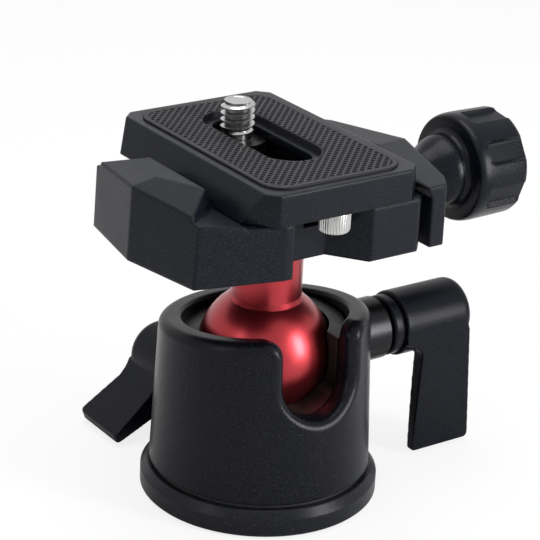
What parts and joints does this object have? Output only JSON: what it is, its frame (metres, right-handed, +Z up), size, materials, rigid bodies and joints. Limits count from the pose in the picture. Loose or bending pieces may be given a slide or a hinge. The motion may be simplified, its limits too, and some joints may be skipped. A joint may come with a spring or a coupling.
{
  "type": "tripod ball head",
  "caption": "Compact tripod ball head with a U-shaped drop notch, two locking levers, a screw clamp and a sliding dovetail quick release plate with a camera screw",
  "frame": {"origin": "centre of the tripod socket's mouth, in the plane of the base's underside, on the pan axis", "axes": "+Z up along the pan axis, out of the top of the head; +X toward the ball lock lever and the clamp knob; the drop notch faces -Y and the pan lock lever is at +Y; the plate's long side runs along Y"},
  "size_m": [0.0829, 0.0616, 0.0722],
  "materials": {
    "black_powder_coat": "satin black powder coat with a fine sparkle, on cast aluminium",
    "black_anodised": "satin black anodised aluminium",
    "red_anodised": "satin red anodised aluminium",
    "steel": "plain machined steel",
    "stainless": "bright stainless steel",
    "brass": "plain machined brass",
    "black_plastic": "satin moulded nylon",
    "black_nylon": "plain nylon washer stock",
    "grey_acetal": "brown-grey translucent acetal",
    "black_rubber": "matte black rubber with a moulded pattern"
  },
  "bodies": {
    "base": {"base_plate": "black_anodised", "tripod_socket": "steel", "pan_washer": "black_nylon", "retaining_disc": "black_anodised", "retaining_screws": "steel"},
    "housing": {"housing": "black_powder_coat", "ball_seat": "grey_acetal", "ball_liner": "grey_acetal", "ball_lock_sleeve": "black_anodised", "pan_lock_sleeve": "black_anodised"},
    "pressure_pad": {"pressure_pad": "grey_acetal"},
    "ball_lock": {"ball_lock_screw": "steel", "ball_lock_washer": "black_nylon", "ball_lock_lever": "black_plastic", "ball_lock_lever_screw": "steel"},
    "pan_pad": {"pan_lock_pad": "brass"},
    "pan_lock": {"pan_lock_screw": "steel", "pan_lock_washer": "black_nylon", "pan_lock_lever": "black_plastic", "pan_lock_lever_screw": "steel"},
    "ball": {"ball_stem": "red_anodised"},
    "clamp": {"clamp_body": "black_powder_coat", "clamp_screw": "steel", "guide_pins": "steel"},
    "jaw": {"movable_jaw": "black_powder_coat"},
    "knob": {"clamp_knob": "black_plastic", "clamp_spindle": "steel", "knob_washer": "steel"},
    "plate": {"quick_release_plate": "black_anodised", "plate_pad": "black_rubber", "plate_stop_screws": "steel"},
    "screw_carrier": {"screw_washer": "steel"},
    "camera_screw": {"camera_screw": "stainless"}
  },
  "joints": [
    {"name": "pan", "type": "hinge", "parent": "base", "child": "housing", "pos_m": [0, 0, 0], "axis": [0, 0, 1], "continuous": true},
    {"name": "ball_lock_turn", "type": "hinge", "parent": "housing", "child": "ball_lock", "pos_m": [0, 0, 0.0265], "axis": [1, 0, 0], "range_deg": [0, 90]},
    {"name": "pressure_pad_slide", "type": "slide", "parent": "housing", "child": "pressure_pad", "axis": [1, 0, 0], "range_m": [0, 0.00025]},
    {"name": "pan_lock_turn", "type": "hinge", "parent": "housing", "child": "pan_lock", "pos_m": [0, 0, 0.0125], "axis": [0, 1, 0], "range_deg": [0, 45]},
    {"name": "pan_pad_slide", "type": "slide", "parent": "housing", "child": "pan_pad", "axis": [0, 1, 0], "range_m": [0, 0.00016]},
    {"name": "ball_tilt", "type": "hinge", "parent": "housing", "child": "ball", "pos_m": [0, 0, 0.028], "axis": [1, 0, 0], "range_deg": [-35, 90]},
    {"name": "ball_spin", "type": "hinge", "parent": "ball", "child": "clamp", "pos_m": [0, 0, 0.028], "axis": [0, 0, 1], "continuous": true},
    {"name": "jaw_slide", "type": "slide", "parent": "clamp", "child": "jaw", "axis": [1, 0, 0], "range_m": [0, 0.0046]},
    {"name": "clamp_knob_turn", "type": "hinge", "parent": "jaw", "child": "knob", "pos_m": [0.045, 0, 0.0565], "axis": [1, 0, 0], "range_deg": [0, 2025]},
    {"name": "plate_slide", "type": "slide", "parent": "clamp", "child": "plate", "axis": [0, 1, 0], "range_m": [-0.009, 0.0022]},
    {"name": "screw_slide", "type": "slide", "parent": "plate", "child": "screw_carrier", "axis": [0, 1, 0], "range_m": [-0.0165, 0.0018]},
    {"name": "camera_screw_turn", "type": "hinge", "parent": "screw_carrier", "child": "camera_screw", "pos_m": [0.00125, 0.0135, 0.07], "axis": [0, 0, 1], "continuous": true}
  ],
  "couplings": [
    {"joint": "pressure_pad_slide", "follows": "ball_lock_turn", "m_per_rad": 0.000159},
    {"joint": "pan_pad_slide", "follows": "pan_lock_turn", "m_per_rad": 0.000159},
    {"joint": "jaw_slide", "follows": "clamp_knob_turn", "m_per_rad": 0.0001273}
  ]
}
